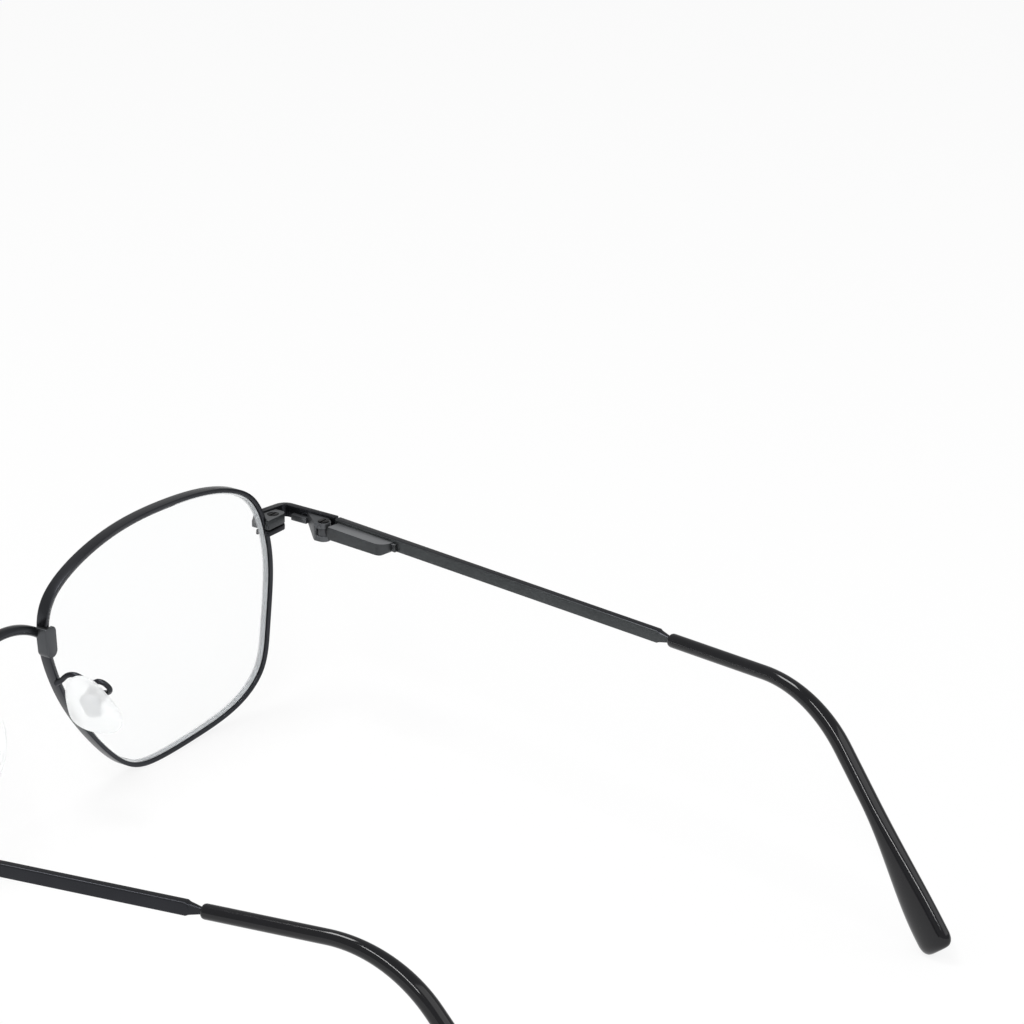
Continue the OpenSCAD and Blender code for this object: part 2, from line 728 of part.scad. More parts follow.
// The plate inside the pad, with a round-ended tab that the screw passes through.
module insert_shape(gap) {
    plate_w = 2.6;
    plate_l = 4.4;
    corner_r = 1;
    translate([insert_back - insert_t - gap, 0, 0]) rotate([90, 0, 90])
    translate([-plate_w / 2 - gap, -plate_l / 2 - gap, 0])
        rounded_plate(plate_w + 2 * gap, plate_l + 2 * gap, insert_t + 2 * gap, corner_r);
}

module nose_pad(side) {
    dome_r = 15;
    color(silicone) sided(side) at_pad()
    difference() {
        intersection() {
            pad_prism(0, insert_back - pad_t - 1, insert_back);
            translate([insert_back - pad_t + dome_r, 0, 0]) sphere(r = dome_r, $fn = 120);
        }
        insert_shape(seat_gap);
    }
}

module pad_insert(side) {
    tab_r = 0.65;
    color(steel) sided(side) at_pad()
    difference() {
        union() {
            insert_shape(0);
            translate([insert_back - 0.1, -tab_t / 2, -tab_r])
                cube([eye_x - insert_back + 0.1, tab_t, 2 * tab_r]);
            translate([eye_x, tab_t / 2, 0]) rotate([90, 0, 0]) cylinder(r = tab_r, h = tab_t, $fn = round_fn);
        }
        translate([eye_x, 1, 0]) rotate([90, 0, 0]) cylinder(r = pad_screw_r + run_gap, h = 2, $fn = round_fn);
    }
}

module pad_box(side) {
    slot_w = tab_t + 2 * run_gap;
    slot_deep = eye_x + 0.8;
    color(metal) sided(side) at_pad()
    difference() {
        translate([box_x, 0, 0]) rotate([90, 0, 90]) translate([-box_half, -box_half, 0])
            rounded_plate(2 * box_half, 2 * box_half, box_back - box_x, 0.4);
        translate([box_x - 1, -slot_w / 2, -box_half - 1])
            cube([slot_deep - box_x + 1, slot_w, 2 * box_half + 2]);
        translate([eye_x, box_half + 1, 0]) rotate([90, 0, 0])
            cylinder(r = pad_screw_r + seat_gap, h = 2 * box_half + 2, $fn = round_fn);
    }
}

module pad_screw(side) {
    head_r = 0.55;
    head_h = 0.35;
    color(steel) sided(side) at_pad()
    translate([eye_x, 0, 0]) rotate([-90, 0, 0])
        slotted_screw(pad_screw_r, -box_half - 0.1, box_half + seat_gap, head_r, head_h);
}

// The arm's middle line from the rim's back, over two humps, to the back of the box:
// sideways, back and up, from the middle of the pad.
ARM_LINE = [
    [-0.7, -6.15, 2.6], [-0.6, -5.2, 3.3], [-0.35, -4.1, 4.35], [0.1, -2.9, 4.55], [0.7, -1.6, 3.9],
    [1.15, -0.6, 3.45], [1.3, 0.5, 3.95], [1.6, 1.45, 3.75], [2.25, 1.9, 2.8], [2.75, 1.3, 1.9],
    [2.75, 0.2, 1.45], [2.25, -0.75, 1.25]
];
function through(p, i, t) = let (
        a = p[max(i - 1, 0)], b = p[i], c = p[i + 1], d = p[min(i + 2, len(p) - 1)])
    b + t / 2 * (c - a) + pow(t, 2) * (a - 2.5 * b + 2 * c - d / 2)
    + pow(t, 3) * (1.5 * b - 1.5 * c + (d - a) / 2);

module pad_arm(side) {
    sides = 8;
    steps = 3;
    spots = concat(
        [for (i = [0:len(ARM_LINE) - 2], k = [0:steps - 1]) through(ARM_LINE, i, k / steps)],
        [ARM_LINE[len(ARM_LINE) - 1]]
    );
    n = len(spots);
    rings = [for (i = [0:n - 1]) let (
            ahead = spots[min(i + 1, n - 1)] - spots[max(i - 1, 0)],
            along = ahead / norm(ahead),
            side_way = cross(along, [0.8, 0.2, 0.55]),
            u = side_way / norm(side_way),
            v = cross(along, u))
        [for (s = [0:sides - 1]) spots[i] + arm_r * (cos(360 * s / sides) * u + sin(360 * s / sides) * v)]];
    color(metal) sided(side)
    difference() {
        translate([pad_x, pad_back, pad_z]) tube_of(rings);
        rim_space(seat_gap);
        at_pad() translate([box_x - 1, -box_half - seat_gap, -box_half - seat_gap])
            cube([box_back - box_x + 1 + seat_gap, 2 * (box_half + seat_gap), 2 * (box_half + seat_gap)]);
    }
}

bridge();
rim(right);  // right_rim
lens(right);  // right_lens
closing_block_upper(right);  // right_closing_block_upper
closing_block_lower(right);  // right_closing_block_lower
closing_screw(right);  // right_closing_screw
end_piece(right);  // right_end_piece
hinge_fork(right);  // right_hinge_fork
hinge_screw(right);  // right_hinge_screw
spring_piston(right);  // right_spring_piston
spring_case(right);  // right_spring_case
hinge_spring(right);  // right_hinge_spring
spring_retainer(right);  // right_spring_retainer
temple_blade(right);  // right_temple_blade
temple_tip(right);  // right_temple_tip
pad_arm(right);  // right_pad_arm
pad_box(right);  // right_pad_box
nose_pad(right);  // right_nose_pad
pad_insert(right);  // right_pad_insert
pad_screw(right);  // right_pad_screw
rim(left);  // left_rim
lens(left);  // left_lens
closing_block_upper(left);  // left_closing_block_upper
closing_block_lower(left);  // left_closing_block_lower
closing_screw(left);  // left_closing_screw
end_piece(left);  // left_end_piece
hinge_fork(left);  // left_hinge_fork
hinge_screw(left);  // left_hinge_screw
spring_piston(left);  // left_spring_piston
spring_case(left);  // left_spring_case
hinge_spring(left);  // left_hinge_spring
spring_retainer(left);  // left_spring_retainer
temple_blade(left);  // left_temple_blade
temple_tip(left);  // left_temple_tip
pad_arm(left);  // left_pad_arm
pad_box(left);  // left_pad_box
nose_pad(left);  // left_nose_pad
pad_insert(left);  // left_pad_insert
pad_screw(left);  // left_pad_screw
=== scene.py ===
import math

import bmesh
import bpy
from mathutils import Matrix, Vector


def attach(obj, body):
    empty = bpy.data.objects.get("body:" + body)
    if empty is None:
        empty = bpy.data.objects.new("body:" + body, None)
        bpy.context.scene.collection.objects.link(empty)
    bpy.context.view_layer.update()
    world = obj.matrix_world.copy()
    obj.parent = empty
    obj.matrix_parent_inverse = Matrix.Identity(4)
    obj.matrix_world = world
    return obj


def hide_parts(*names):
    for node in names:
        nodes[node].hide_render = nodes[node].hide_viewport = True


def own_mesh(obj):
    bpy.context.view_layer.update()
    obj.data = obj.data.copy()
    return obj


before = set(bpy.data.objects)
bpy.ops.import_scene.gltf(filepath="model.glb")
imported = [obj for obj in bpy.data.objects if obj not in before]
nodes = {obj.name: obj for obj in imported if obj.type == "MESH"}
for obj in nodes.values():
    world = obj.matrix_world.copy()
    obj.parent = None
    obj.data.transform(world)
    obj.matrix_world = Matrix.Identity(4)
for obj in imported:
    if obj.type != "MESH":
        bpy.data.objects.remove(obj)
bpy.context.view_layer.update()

# Sizes in millimetres and degrees, the same as the solids' wherever both have them

# Rims, lenses and the curve of the front
RIM_W, RIM_H, RIM_T, RIM_DEPTH = 52.2, 41.3, 0.7, 2.1
GROOVE_W, GROOVE_DEPTH, GROOVE_SLANT = 0.9, 0.35, 0.2
LENS_T, FRONT_CURVE_R = 1.7, 130.0
WRAP, LEAN = 2.0, 1.4
SEAT = 0.02

# Bridge
BRIDGE_GAP, BRIDGE_Y, BRIDGE_Z = 16.6, 0.9, 32.15
ARCH_R, ARCH_LAP, BRIDGE_H, BRIDGE_DEPTH = 15.5, 0.6, 1.5, 1.9
FOOT_W, FOOT_H, FOOT_T, FOOT_LAP, FOOT_BACK = 2.3, 5.0, 2.1, 0.8, 3.4

# Hinges, end pieces and closing blocks
HINGE_OUT, HINGE_BEHIND, HINGE_Z = 3.03, 8.69, 30.75
EAR_R, SWING_GAP = 1.15, 0.2
END_H, BLOCK_DROP, BLOCK_UPPER_H, SPLIT_GAP = 2.0, 0.25, 1.7, 0.2

# Spring cases and springs
CASE_Y, CASE_L, CASE_W = 2.0, 12.4, 2.33
ROD_X, ROD_Z, BORE_R = 0.1, 0.4, 0.6

# Temples
CONVERGE, RISE = 9.0, 1.4
BLADE_T, BLADE_H, BLADE_Y, BLADE_Z = 1.3, 2.0, 1.25, 0.85
BEND_Y, BEND_R, BEND = 90.7, 18.9, 52.9
SLEEVE_Y, SLEEVE_D, SLEEVE_MID_D, SLEEVE_NOSE = 72.4, 2.15, 2.65, 0.5
CORE_R, CORE_GAP, CORE_SHORT = 0.5, 0.1, 4.0
PADDLE_H, PADDLE_T, PADDLE_L, PADDLE_FULL = 6.2, 3.0, 24.0, 3.0
PADDLE_CAP, PADDLE_DROP = 1.85, 0.95

# Nose pads and their arms
PAD_L, PAD_W, PAD_T, PAD_DOME_R = 13.1, 7.9, 2.0, 15.0
PAD_OUT, PAD_BACK, PAD_Z = 3.2, 8.2, 18.2
PAD_SPREAD, PAD_SPLAY = 28.5, 21.0
ARM_R = 0.42

# Outlines in shares of half the width and half the height, clockwise from the temple's side
RIM_SHAPE = [
    (1.00, 0.10), (0.955, -0.33), (0.87, -0.66), (0.63, -0.875), (0.28, -0.97), (-0.08, -1.00),
    (-0.34, -0.91), (-0.58, -0.61), (-0.80, -0.22), (-0.955, 0.20), (-1.00, 0.52), (-0.91, 0.74),
    (-0.63, 0.895), (-0.25, 0.985), (0.15, 1.00), (0.53, 0.96), (0.83, 0.80), (0.965, 0.47)]
PAD_SHAPE = [
    (0.90, 0.10), (0.98, -0.40), (0.66, -0.86), (0.02, -1.00), (-0.64, -0.84), (-0.98, -0.38),
    (-0.84, 0.20), (-0.60, 0.72), (0.00, 1.00), (0.62, 0.76)]

# The middle line of a pad's arm, from its foot on the rim, in millimetres from the pad's place
ARM_LINE = [
    (-0.7, -6.15, 2.6), (-0.6, -5.2, 3.3), (-0.35, -4.1, 4.35), (0.1, -2.9, 4.55), (0.7, -1.6, 3.9),
    (1.15, -0.6, 3.45), (1.3, 0.5, 3.95), (1.6, 1.45, 3.75), (2.25, 1.9, 2.8), (2.75, 1.3, 1.9),
    (2.75, 0.2, 1.45), (2.25, -0.75, 1.25)]

# How finely the curves are drawn
EVENING_ROUNDS = 4
RIM_STEPS, RIM_TOOL_STEPS, PAD_STEPS, ARM_STEPS = 12, 10, 6, 6

# A millimetre in metres, and how near to each other corners are joined
MILLIMETRE = 0.001
SAME_SPOT, SAME_CORNER = 1e-7, 2e-7


def sin(angle):
    return math.sin(math.radians(angle))


def cos(angle):
    return math.cos(math.radians(angle))


def cap_height(angle):
    """Height of the paddle's rounded end, from 0 degrees where it starts to 90 at its tip."""
    return PADDLE_H * max(cos(angle), 0.02) ** 0.4


# Places worked out from the sizes
BLADE_IN = EAR_R + SWING_GAP
BLADE_X = BLADE_IN + BLADE_T / 2
SPLIT_TOP = BLADE_Z + END_H / 2 - BLOCK_DROP - BLOCK_UPPER_H
LENS_X = BRIDGE_GAP / 2 + RIM_W / 2 * cos(WRAP)
HINGE_X = BRIDGE_GAP / 2 + RIM_W * cos(WRAP) + HINGE_OUT
RIM_EDGE_BEND = FRONT_CURVE_R - math.sqrt(FRONT_CURVE_R**2 - (RIM_W / 2) ** 2)
HINGE_BACK = RIM_W / 2 * sin(WRAP) + RIM_EDGE_BEND * cos(WRAP) + HINGE_BEHIND
PAD_X = BRIDGE_GAP / 2 + PAD_OUT
SAG = (RIM_H / 2) ** 2 / (2 * FRONT_CURVE_R)
LENS_Z = RIM_H / 2 * cos(LEAN) - (SAG - RIM_DEPTH / 2) * sin(LEAN)

# The temples are long enough for their ends to stand on the table
SLOPE = BEND - RISE
BEND_L = math.radians(BEND) * BEND_R
BEND_END_Y = BEND_Y + BEND_R * sin(BEND)
BEND_END_Z = BLADE_Z - BEND_R * (1 - cos(BEND))
CAP_TURNS = range(15, 91, 15)
PADDLE_FOOT = max(
    PADDLE_CAP * sin(a) * sin(SLOPE) + (cap_height(a) / 2 + PADDLE_DROP) * cos(SLOPE) for a in CAP_TURNS)
TAIL_L = (HINGE_Z + BEND_END_Y * sin(RISE) + BEND_END_Z * cos(RISE) - PADDLE_FOOT) / sin(SLOPE)
CURVE_L = BEND_Y + BEND_L + TAIL_L + PADDLE_CAP

# The frame's origin is halfway between the front and the back of the glasses
FRONT_Y = FRONT_CURVE_R * (cos(LEAN) * cos(WRAP) - 1) - LENS_T / 2
TAIL_Y = (BEND_END_Y + TAIL_L * cos(BEND)) * cos(RISE) - (BEND_END_Z - TAIL_L * sin(BEND)) * sin(RISE)
PADDLE_BACK = max(
    PADDLE_CAP * sin(a) * cos(SLOPE) + (cap_height(a) / 2 - PADDLE_DROP) * sin(SLOPE) for a in CAP_TURNS)
BACK_Y = HINGE_BACK + (TAIL_Y + PADDLE_BACK) * cos(CONVERGE) + BLADE_X * sin(CONVERGE)
MIDDLE_Y = (FRONT_Y + BACK_Y) / 2


def at(x, y, z):
    return Matrix.Translation((x, y, z))


def turn(angle, axis):
    return Matrix.Rotation(math.radians(angle), 4, axis)


def sized(x, y, z):
    return Matrix.Diagonal((x, y, z, 1))


HERE = Matrix.Identity(4)
MIRRORED = sized(-1, 1, 1)
UPRIGHT = turn(-90, "X") @ sized(1, -1, 1)
AT_LENS = at(LENS_X, 0, LENS_Z) @ turn(WRAP, "Z") @ turn(LEAN, "X")
AT_HINGE = at(HINGE_X, HINGE_BACK, HINGE_Z) @ turn(CONVERGE, "Z") @ turn(RISE, "X")
AT_PAD = at(PAD_X, PAD_BACK, PAD_Z) @ turn(-PAD_SPREAD, "Y") @ turn(-PAD_SPLAY, "Z")
TO_ROW = sized(MILLIMETRE, MILLIMETRE, MILLIMETRE) @ at(0, -MIDDLE_Y, 0)

# Curves


def smooth_outline(shape, width, height):
    """Control points of a round closed curve through the outline's points."""
    wanted = [Vector((x * width / 2, y * height / 2)) for x, y in shape]
    points = wanted[:]
    for _ in range(EVENING_ROUNDS):
        evened = [
            (points[i - 1] + 4 * p + points[(i + 1) % len(points)]) / 6 for i, p in enumerate(points)]
        points = [p + w - e for p, w, e in zip(points, wanted, evened)]
    return points


def outline_points(points, steps, grow=0):
    """Points along the closed curve, each moved outwards by grow."""
    found = []
    for i in range(len(points)):
        a, b, c, d = (points[(i + k) % len(points)] for k in (-1, 0, 1, 2))
        for k in range(steps):
            t = k / steps
            near, far = 3 * t**3 - 6 * t**2 + 4, -3 * t**3 + 3 * t**2 + 3 * t + 1
            spot = ((1 - t) ** 3 * a + near * b + far * c + t**3 * d) / 6
            way = -((1 - t) ** 2) * a + (3 * t**2 - 4 * t) * b + (-3 * t**2 + 2 * t + 1) * c + t**2 * d
            found.append(spot + grow * Vector((-way.y, way.x)).normalized())
    return found


def line_points(spots, steps):
    """Points along a smooth open line through the spots."""
    found = []
    last = len(spots) - 1
    for i in range(last):
        a, b, c, d = spots[max(i - 1, 0)], spots[i], spots[i + 1], spots[min(i + 2, last)]
        square, cube = a - 2.5 * b + 2 * c - d / 2, 1.5 * b - 1.5 * c + (d - a) / 2
        for k in range(steps):
            t = k / steps
            found.append(b + t / 2 * (c - a) + t**2 * square + t**3 * cube)
    return found + [spots[last]]


def ways_along(points):
    """Which way an open line runs at each of its points."""
    last = len(points) - 1
    return [(points[min(i + 1, last)] - points[max(i - 1, 0)]).normalized() for i in range(last + 1)]


def eased(t):
    """Goes smoothly from 0 to 1 while t does."""
    t = min(max(t, 0), 1)
    return t * t * (3 - 2 * t)


RIM_CURVE = smooth_outline(RIM_SHAPE, RIM_W, RIM_H)
PAD_CURVE = smooth_outline(PAD_SHAPE, PAD_W, PAD_L)

# Making solids


def face_of(bm, points):
    """One flat face through a few points."""
    return bm.faces.new([bm.verts.new(p) for p in points])


def placed(bm, matrix):
    """Moves all of a solid."""
    bmesh.ops.transform(bm, matrix=matrix, verts=bm.verts[:])
    return bm


def facing_out(bm):
    """Turns every face outwards."""
    bmesh.ops.recalc_face_normals(bm, faces=bm.faces[:])
    return bm


def drawn_on(bm, face, matrix, first=False):
    """Draws the end face out to its next place, and returns it there."""
    grown = bmesh.ops.extrude_face_region(bm, geom=[face])["geom"]
    if not first:
        bmesh.ops.delete(bm, geom=[face], context="FACES_ONLY")
    bmesh.ops.transform(bm, matrix=matrix, verts=[g for g in grown if isinstance(g, bmesh.types.BMVert)])
    return next(g for g in grown if isinstance(g, bmesh.types.BMFace))


def swept(bm, face, places):
    """Sweeps a face, drawn at the origin in X and Y, through a list of places."""
    bmesh.ops.transform(bm, matrix=places[0], verts=face.verts[:])
    for k in range(1, len(places)):
        face = drawn_on(bm, face, places[k] @ places[k - 1].inverted(), first=k == 1)
    return face


def rounded(bm, geom, width, segments, affect="VERTICES", clamped=False):
    """Rounds the corners of a flat face, or the edges of a solid."""
    bmesh.ops.bevel(
        bm, geom=geom, offset=width, affect=affect, segments=segments, profile=0.5, material=-1,
        clamp_overlap=clamped)


def sharp_edges(bm, angle):
    """The edges whose faces meet at more than the angle."""
    return [e for e in bm.edges if e.is_manifold and e.calc_face_angle() > math.radians(angle)]


def eased_edges(bm, width, angle=30, segments=2):
    """Rounds every edge that is sharper than the angle."""
    rounded(bm, sharp_edges(bm, angle), width, segments, "EDGES", clamped=True)


def plate(points, low, high, matrix=HERE):
    """A plate from an outline in X and Y, between two heights."""
    bm = bmesh.new()
    swept(bm, face_of(bm, [(x, y, 0) for x, y in points]), [at(0, 0, low), at(0, 0, high)])
    return placed(facing_out(bm), matrix)


def round_bar(radius, low, high):
    """A round bar along Z, between two heights."""
    bm = bmesh.new()
    bmesh.ops.create_cone(
        bm, cap_ends=True, radius1=radius, radius2=radius, depth=high - low, segments=32,
        matrix=at(0, 0, (low + high) / 2))
    return bm


def mesh_from(bm, name):
    """Turns the working solid into a mesh."""
    mesh = bpy.data.meshes.new(name)
    bm.to_mesh(mesh)
    bm.free()
    return mesh


def added(name, data):
    """A new object in the scene, such as a piece, a lamp or the camera."""
    made = bpy.data.objects.new(name, data)
    bpy.context.scene.collection.objects.link(made)
    return made


def combined(bm, other, operation):
    """Cuts one solid with another, fuses the two, or keeps what they share."""
    base = added("base", mesh_from(facing_out(bm), "base"))
    tool = added("tool", mesh_from(facing_out(other), "tool"))
    step = base.modifiers.new("step", "BOOLEAN")
    step.operation, step.solver, step.object = operation, "EXACT", tool
    done = bpy.data.meshes.new_from_object(base.evaluated_get(bpy.context.evaluated_depsgraph_get()))
    for used in (base, tool):
        bpy.data.objects.remove(used)
    out = bmesh.new()
    out.from_mesh(done)
    return out


def give_second_finish(bm, chosen):
    """Gives the faces that are chosen the second finish of the piece, and the others the first."""
    for face in facing_out(bm).faces:
        face.material_index = int(chosen(face))


def on_side(side, body):
    """The body's name on one side. The front is one body for both sides."""
    return body if body == "front" else f"{side}_{body}"


def settle(name, node, body, finishes, bm, sharp):
    """Makes the finished piece, with its edges sharp past an angle."""
    facing_out(bm)
    for face in bm.faces:
        face.smooth = True
    for edge in bm.edges:
        edge.smooth = not edge.is_manifold or edge.calc_face_angle() < math.radians(sharp)
    mesh = mesh_from(bm, name)
    for finish in finishes:
        mesh.materials.append(finish)
    piece = added(name, mesh)
    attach(piece, body)
    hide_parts(node)
    return piece


def mirrored_pair(name, node, body, finishes, bm, matrix, sharp=35):
    """Sets the piece on the wearer's left, and its mirror image on the right."""
    placed(bm, TO_ROW @ matrix)
    bmesh.ops.remove_doubles(bm, verts=bm.verts[:], dist=SAME_SPOT)
    for side, flip in (("left", HERE), ("right", MIRRORED)):
        one = placed(bm.copy(), flip)
        settle(f"{side}_{name}", f"{side}_{node}", on_side(side, body), finishes, one, sharp)
    bm.free()


# Finishes


class Line:
    """One output of a shader node. Sums on it add the Math nodes."""

    def __init__(self, finish, socket):
        self.finish, self.socket = finish, socket

    def math(self, operation, first, second):
        return self.finish.node("Math", {"operation": operation}, {0: first, 1: second})

    def __add__(self, other):
        return self.math("ADD", self, other)

    def __radd__(self, other):
        return self.math("ADD", other, self)

    def __rmul__(self, other):
        return self.math("MULTIPLY", other, self)

    def or_more(self, other):
        """The larger of the two."""
        return self.math("MAXIMUM", self, other)


class Finish:
    """The nodes of a material or of the room, with one method that adds any node."""

    def __init__(self, owner):
        owner.use_nodes = True
        self.owner, self.tree = owner, owner.node_tree
        self.tree.nodes.clear()

    def node(self, kind, settings=None, sockets=None, output=0):
        """Adds a node and returns one of its outputs, or nothing where it has none."""
        made = self.tree.nodes.new("ShaderNode" + kind)
        for key, value in (settings or {}).items():
            setattr(made, key, value)
        for key, value in (sockets or {}).items():
            if isinstance(value, Line):
                self.tree.links.new(value.socket, made.inputs[key])
            else:
                made.inputs[key].default_value = value
        return Line(self, made.outputs[output]) if len(made.outputs) else None

    def coordinates(self, scale=(1, 1, 1), turned=(0, 0, 0)):
        spot = self.node("TexCoord", output="Object")
        return self.node("Mapping", {}, {"Vector": spot, "Scale": scale, "Rotation": turned})

    def noise(self, vector, scale, detail=3, roughness=0.5):
        return self.node("TexNoise", {}, {
            "Vector": vector, "Scale": scale, "Detail": detail, "Roughness": roughness})

    def between(self, factor, low, high):
        """A colour between two, by a factor."""
        return self.node(
            "Mix", {"data_type": "RGBA"}, {"Factor": factor, 6: (*low, 1), 7: (*high, 1)}, output=2)

    def bump(self, height, strength, distance):
        return self.node("Bump", {}, {"Height": height, "Strength": strength, "Distance": distance})

    def seen_by(self, *rays):
        """1 for the rays that are named, and 0 for all others."""
        outputs = [self.node("LightPath", output=f"Is {ray} Ray") for ray in rays]
        seen = outputs[0]
        for output in outputs[1:]:
            seen = seen.or_more(output)
        return seen

    def surface(self, shader, kind="OutputMaterial"):
        """Ends the nodes in a shader, and returns the material or the room."""
        self.node(kind, {}, {"Surface": shader})
        return self.owner


def new_finish(name):
    """The nodes of a new material."""
    return Finish(bpy.data.materials.new(name))


def plated(name, dark, light, rough, metallic=0.9, grain_scale=(1, 1, 1)):
    """Plated metal, with a faint grain and a cloudy sheen."""
    f = new_finish(name)
    cloud = f.noise(f.coordinates(), scale=140, detail=4)
    grain = f.noise(f.coordinates(grain_scale), scale=2600, roughness=0.6)
    return f.surface(f.node("BsdfPrincipled", {}, {
        "Base Color": f.between(cloud, dark, light), "Metallic": metallic,
        "Roughness": rough - 0.05 + 0.1 * grain + 0.06 * cloud, "IOR": 1.5,
        "Normal": f.bump(grain, strength=0.15, distance=0.00001)}))


def sleeve_black():
    """Gloss black plastic with a faint orange peel and hair scratches."""
    f = new_finish("sleeve_black")
    peel = f.noise(f.coordinates(), scale=700, detail=2)
    hairs = f.noise(f.coordinates(scale=(1, 0.06, 1), turned=(0.3, 0, 0)), scale=3000, detail=2)
    return f.surface(f.node("BsdfPrincipled", {}, {
        "Base Color": f.between(peel, (0.002, 0.002, 0.003), (0.004, 0.004, 0.006)),
        "Roughness": 0.05 + 0.05 * peel + 0.04 * hairs, "IOR": 1.48, "Specular IOR Level": 0.45,
        "Normal": f.bump(peel, strength=0.03, distance=0.00002)}))


def clear_lens():
    """Clear lens whose ground edge is frosted and pale, with a faint painted glow that lightens it."""
    f = new_finish("clear_lens")
    edge = f.node("Attribute", {"attribute_name": "ground_edge"}, output="Fac")
    grit = f.noise(f.coordinates(), scale=3000)
    polished = f.node("BsdfPrincipled", {}, {
        "Base Color": f.between(grit, (0.985, 0.99, 0.99), (0.99, 0.995, 0.995)),
        "Roughness": 0.0, "IOR": 1.5, "Transmission Weight": 1.0})
    # The ground edge's emission is a painted glow that lightens the frosted band
    ground = f.node("BsdfPrincipled", {}, {
        "Base Color": f.between(grit, (0.52, 0.54, 0.56), (0.76, 0.78, 0.79)),
        "Roughness": 0.5 + 0.2 * grit, "IOR": 1.5,
        "Emission Color": (0.86, 0.88, 0.9, 1), "Emission Strength": 0.08})
    return f.surface(f.node("MixShader", {}, {0: edge, 1: polished, 2: ground}))


def clear_silicone():
    """Soft clear silicone, slightly milky, with a faint painted glow that lightens it."""
    f = new_finish("clear_silicone")
    cloud = f.noise(f.coordinates(), scale=260)
    return f.surface(f.node("BsdfPrincipled", {}, {
        "Base Color": f.between(cloud, (0.95, 0.97, 0.97), (1.0, 1.0, 1.0)),
        "Roughness": 0.3 + 0.2 * cloud, "IOR": 1.12, "Transmission Weight": 0.62,
        # The emission is a painted glow that lightens the pads
        "Emission Color": (1, 1, 1, 1), "Emission Strength": 0.05,
        "Normal": f.bump(cloud, strength=0.1, distance=0.00004)}))


LONG_GRAIN = (1, 0.05, 1)
GUNMETAL = plated("gunmetal", (0.03, 0.031, 0.036), (0.05, 0.052, 0.058), 0.27)
# Painted shade: a darker copy of the gunmetal for the end piece and the lower closing block, standing in
# for the shade and dark reflections on them
GUNMETAL_PAINTED_SHADE = plated("gunmetal_painted_shade", (0.016, 0.017, 0.02), (0.028, 0.029, 0.034), 0.3)
# Painted light: a lighter, rougher copy of the gunmetal for the upper closing block, lit more than the
# lower one
GUNMETAL_SATIN_PAINTED_LIGHT = plated("gunmetal_satin_painted_light", (0.05, 0.053, 0.056), (0.08, 0.084, 0.088), 0.42)
# Painted light: a lighter copy of the plating for the closing block's top faces, where the light from above
# falls
BLOCK_TOP_PAINTED_LIGHT = plated("block_top", (0.13, 0.134, 0.14), (0.19, 0.195, 0.202), 0.4)
# Painted light: a lighter copy of the gunmetal for the bridge's feet, where light falls on them
FOOT_SATIN_PAINTED_LIGHT = plated("foot_satin_painted_light", (0.075, 0.078, 0.083), (0.11, 0.115, 0.122), 0.36)
CASE_SIDE = plated("case_side", (0.055, 0.058, 0.061), (0.085, 0.089, 0.093), 0.42)
# Painted light: a much lighter copy of the case's plating for its top faces, where the light from above
# falls
CASE_TOP_PAINTED_LIGHT = plated("case_top", (0.24, 0.246, 0.255), (0.33, 0.337, 0.347), 0.4)
# Painted light: a lighter satin copy of the plating for the hinge fork, which catches more light than the
# end bar beside it
LEAF_SATIN_PAINTED_LIGHT = plated("leaf_satin_painted_light", (0.1, 0.104, 0.11), (0.15, 0.155, 0.163), 0.42)
CLASP_STEEL = plated("clasp_steel", (0.3, 0.305, 0.31), (0.42, 0.425, 0.43), 0.4)
BLADE_TOP = plated("blade_top", (0.022, 0.023, 0.027), (0.036, 0.037, 0.042), 0.25, 0.9, LONG_GRAIN)
# Painted reflection: a lighter copy of the blade's plating for its inner faces, standing in for the bright
# surroundings they reflect
BLADE_INNER_PAINTED_SHEEN = plated("blade_inner_painted_sheen", (0.05, 0.054, 0.056), (0.082, 0.087, 0.09), 0.4, 0.85, LONG_GRAIN)
DARK_SCREW = plated("dark_screw", (0.008, 0.008, 0.01), (0.018, 0.018, 0.02), 0.25)
# Painted shade: a darkened steel for the spring piston, standing in for the shade between the hinge fork's
# ears
STEEL_PAINTED_SHADE = plated("steel_painted_shade", (0.06, 0.062, 0.066), (0.1, 0.103, 0.108), 0.3)
BRIGHT_STEEL = plated("bright_steel", (0.42, 0.43, 0.45), (0.55, 0.56, 0.58), 0.26)
PALE_STEEL = plated("pale_steel", (0.6, 0.61, 0.62), (0.75, 0.76, 0.77), 0.4)
SLEEVE_BLACK = sleeve_black()
CLEAR_LENS = clear_lens()
CLEAR_SILICONE = clear_silicone()

# Rims and lenses


def bent_to_front(bm):
    """Lays a flat rim or lens on the curve of the front."""
    for v in bm.verts:
        v.co.y += FRONT_CURVE_R - math.sqrt(FRONT_CURVE_R**2 - v.co.x**2 - v.co.z**2)
    return bm


def rim_space():
    """What a rim and its lens fill, for cutting the pieces brazed to them."""
    half = RIM_DEPTH / 2 + SEAT
    bm = bmesh.new()
    outline = face_of(bm, [(x, z, 0) for x, z in outline_points(RIM_CURVE, RIM_TOOL_STEPS, SEAT)])
    swept(bm, outline, [UPRIGHT @ at(0, 0, -half), UPRIGHT @ at(0, 0, half)])
    return placed(bent_to_front(bm), AT_LENS)


def rim_path():
    """Points round the rim, from the lower side of its split to the upper side."""
    split = SPLIT_TOP - SPLIT_GAP / 2 + HINGE_Z - LENS_Z
    points = outline_points(RIM_CURVE, RIM_STEPS)
    first = next(i for i, p in enumerate(points) if p.x > 0 and p.y < split and points[i - 1].y >= split)
    path = points[first:] + points[:first]
    before, after = points[first - 1], points[first]
    too_near = 0.02
    for edge, place in ((split - SPLIT_GAP / 2, 0), (split + SPLIT_GAP / 2, len(path))):
        share = (edge - after.y) / (before.y - after.y)
        if too_near < share < 1 - too_near:
            path.insert(place, after + share * (before - after))
    return path


